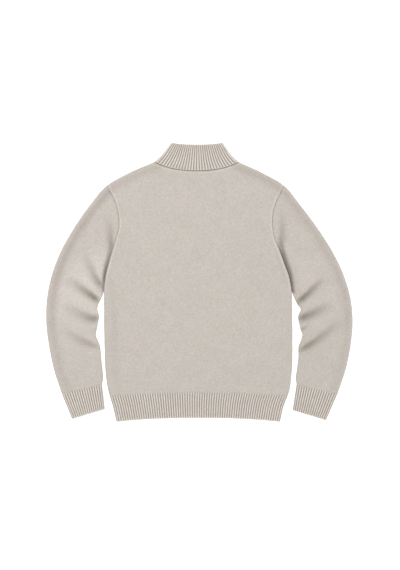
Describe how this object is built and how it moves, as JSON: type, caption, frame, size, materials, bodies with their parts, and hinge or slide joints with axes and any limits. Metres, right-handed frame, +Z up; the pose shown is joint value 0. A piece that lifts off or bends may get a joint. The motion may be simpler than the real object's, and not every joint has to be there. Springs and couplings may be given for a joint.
{
  "type": "knit cardigan",
  "caption": "Long-sleeved knit cardigan with a high rib collar, rib cuffs and rib hem, laid flat on its front with its back up.",
  "frame": {"origin": "on the surface that the cardigan lies on, under the middle of its footprint", "axes": "+Z up, away from the surface; +Y from the hem to the collar; +X towards the wearer's right sleeve"},
  "size_m": [0.8272, 0.7527, 0.0173],
  "materials": {
    "plain_knit": "soft matt wool in plain knit",
    "rib_knit": "soft matt wool in a narrow rib"
  },
  "bodies": {
    "root": {"back": "plain_knit", "front_left": "plain_knit", "front_right": "plain_knit", "sleeve_left": "plain_knit", "sleeve_right": "plain_knit", "cuff_left": "rib_knit", "cuff_right": "rib_knit", "hem_rib": "rib_knit", "collar": "rib_knit", "front_band_left": "rib_knit", "front_band_right": "rib_knit"}
  },
  "joints": []
}
